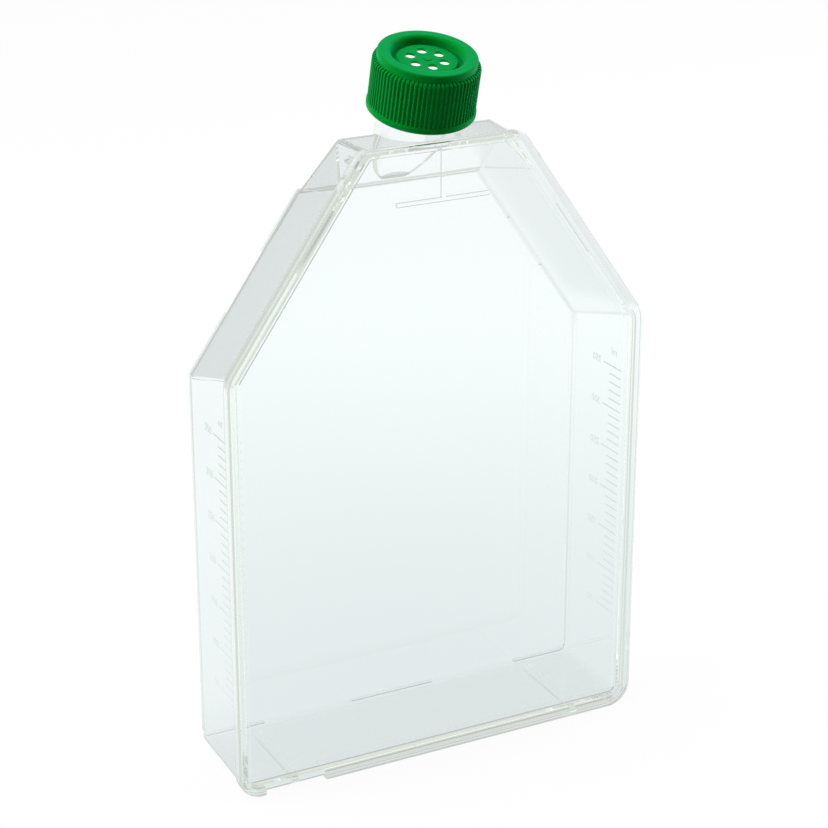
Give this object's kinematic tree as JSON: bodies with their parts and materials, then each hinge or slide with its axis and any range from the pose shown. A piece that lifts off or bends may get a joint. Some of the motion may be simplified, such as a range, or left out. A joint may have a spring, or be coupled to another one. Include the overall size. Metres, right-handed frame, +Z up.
{
  "type": "cell culture flask",
  "caption": "Clear plastic tissue culture flask with flat growth plate, sloping shoulders, canted neck and vented green screw cap, standing on its end.",
  "frame": {"origin": "middle of the lid's foot edge, level with the outer face of the lid's plate", "axes": "+X across the flask, +Y from the lid to the growth plate, +Z up from the foot to the neck"},
  "size_m": [0.129, 0.0386, 0.2097],
  "materials": {
    "clear_plastic": "clear polished polystyrene with a faint grey-green cast at its edges",
    "green_plastic": "moulded polyethylene, satin, mid green",
    "white_membrane": "matt white filter membrane"
  },
  "bodies": {
    "flask": {"tray": "clear_plastic", "lid": "clear_plastic"},
    "vent": {"vent_membrane": "white_membrane"},
    "cap": {"screw_cap": "green_plastic"}
  },
  "joints": [
    {"name": "cap_rise", "type": "slide", "parent": "flask", "child": "vent", "axis": [0, -0.2538, 0.9673], "range_m": [0, 0.005]},
    {"name": "cap_turn", "type": "hinge", "parent": "vent", "child": "cap", "pos_m": [0, 0.0142, 0.184], "axis": [0, -0.2538, 0.9673], "range_deg": [0, 449]}
  ],
  "couplings": [
    {"joint": "cap_rise", "follows": "cap_turn", "m_per_rad": 0.00063662}
  ]
}
